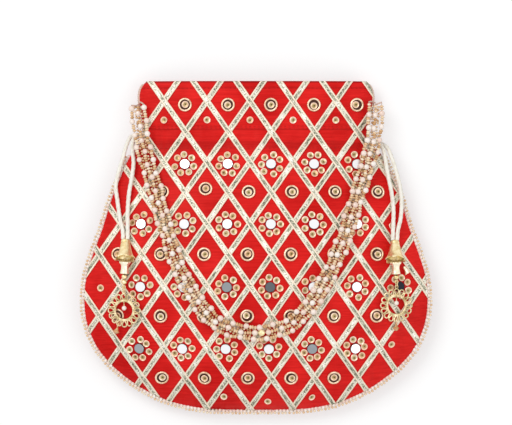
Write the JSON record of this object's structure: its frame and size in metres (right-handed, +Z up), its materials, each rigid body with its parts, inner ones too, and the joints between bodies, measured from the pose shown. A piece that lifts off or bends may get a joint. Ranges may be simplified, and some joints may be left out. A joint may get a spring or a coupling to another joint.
{
  "type": "potli bag",
  "caption": "Drawstring potli bag of red silk with a lace lattice, mirror flowers, a beaded garland handle and tassels with gold pendants, lying on its back.",
  "frame": {"origin": "under the middle of the bag, on the surface that its back lies on", "axes": "+Z up from the back to the front panel, +Y from the bottom to the mouth, +X to the right in the front view"},
  "size_m": [0.2496, 0.2371, 0.041],
  "materials": {
    "silk": "red dupion silk",
    "lining_satin": "plain satin",
    "gota": "silver and gold ribbon lace",
    "gold": "polished gold plating",
    "antique_gold": "antique gold plating",
    "mirror_glass": "small flat mirror",
    "ivory_cord": "twisted ivory cord",
    "pearl": "pearl beads",
    "amber": "clear amber bead"
  },
  "bodies": {
    "bag": {"front_panel": "silk", "back_panel": "silk", "mirror_01": "mirror_glass", "mirror_02": "mirror_glass", "mirror_03": "mirror_glass", "mirror_04": "mirror_glass", "mirror_05": "mirror_glass", "mirror_06": "mirror_glass", "mirror_07": "mirror_glass", "mirror_08": "mirror_glass", "mirror_09": "mirror_glass", "mirror_10": "mirror_glass", "mirror_11": "mirror_glass", "mirror_12": "mirror_glass", "mirror_13": "mirror_glass", "mirror_14": "mirror_glass", "mirror_15": "mirror_glass", "mirror_16": "mirror_glass", "mirror_17": "mirror_glass", "mirror_18": "mirror_glass", "mirror_19": "mirror_glass", "mirror_20": "mirror_glass", "mirror_21": "mirror_glass", "mirror_22": "mirror_glass", "mirror_23": "mirror_glass", "mirror_24": "mirror_glass", "lining": "lining_satin", "gota_lattice": "gota", "bead_edging": "pearl", "drawstring_run_left": "ivory_cord", "drawstring_run_right": "ivory_cord", "drawstring_leg_left_front": "ivory_cord", "drawstring_leg_left_back": "ivory_cord", "drawstring_leg_right_front": "ivory_cord", "drawstring_leg_right_back": "ivory_cord", "bead_strand_inner": "pearl", "bead_strand_outer": "pearl", "bead_strand_middle_left": "pearl", "bead_strand_middle_right": "pearl", "centre_bead": "gold", "handle_winding_left": "ivory_cord", "handle_winding_right": "ivory_cord", "cord_cap_left": "gold", "tassel_pin_left": "gold", "metal_bead_lower_left": "gold", "metal_bead_upper_left": "gold", "inner_bell_left": "gold", "jump_ring_left": "gold", "cord_cap_right": "gold", "tassel_pin_right": "gold", "metal_bead_lower_right": "gold", "inner_bell_right": "gold", "jump_ring_right": "gold", "side_bell_right": "gold"},
    "left_pendant": {"pendant_left": "antique_gold"},
    "left_pearl_drop": {"pearl_drop_left": "pearl"},
    "left_amber_drop": {"amber_drop_left": "amber"},
    "right_pendant": {"pendant_right": "antique_gold"},
    "right_pearl_drop": {"pearl_drop_right": "pearl"},
    "right_amber_drop": {"amber_drop_right": "amber"}
  },
  "joints": [
    {"name": "left_pendant_lift", "type": "hinge", "parent": "bag", "child": "left_pendant", "pos_m": [-0.09366, -0.02947, 0.02919], "axis": [-0.9687, 0, -0.2482], "range_deg": [0, 110]},
    {"name": "left_pearl_drop_swing", "type": "hinge", "parent": "left_pendant", "child": "left_pearl_drop", "pos_m": [-0.09354, -0.03766, 0.02874], "axis": [-0.9687, 0, -0.2482], "range_deg": [0, 100]},
    {"name": "left_amber_drop_swing", "type": "hinge", "parent": "left_pendant", "child": "left_amber_drop", "pos_m": [-0.09748, -0.05482, 0.0267], "axis": [-0.9004, 0.382, -0.2079], "range_deg": [0, 100]},
    {"name": "right_pendant_lift", "type": "hinge", "parent": "bag", "child": "right_pendant", "pos_m": [0.09969, -0.02599, 0.02743], "axis": [-0.9617, 0, 0.2741], "range_deg": [0, 110]},
    {"name": "right_pearl_drop_swing", "type": "hinge", "parent": "right_pendant", "child": "right_pearl_drop", "pos_m": [0.0996, -0.03418, 0.02713], "axis": [-0.9617, 0, 0.2741], "range_deg": [0, 100]},
    {"name": "right_amber_drop_swing", "type": "hinge", "parent": "right_pendant", "child": "right_amber_drop", "pos_m": [0.09941, -0.05222, 0.02647], "axis": [-0.9617, 0, 0.2741], "range_deg": [0, 100]}
  ]
}
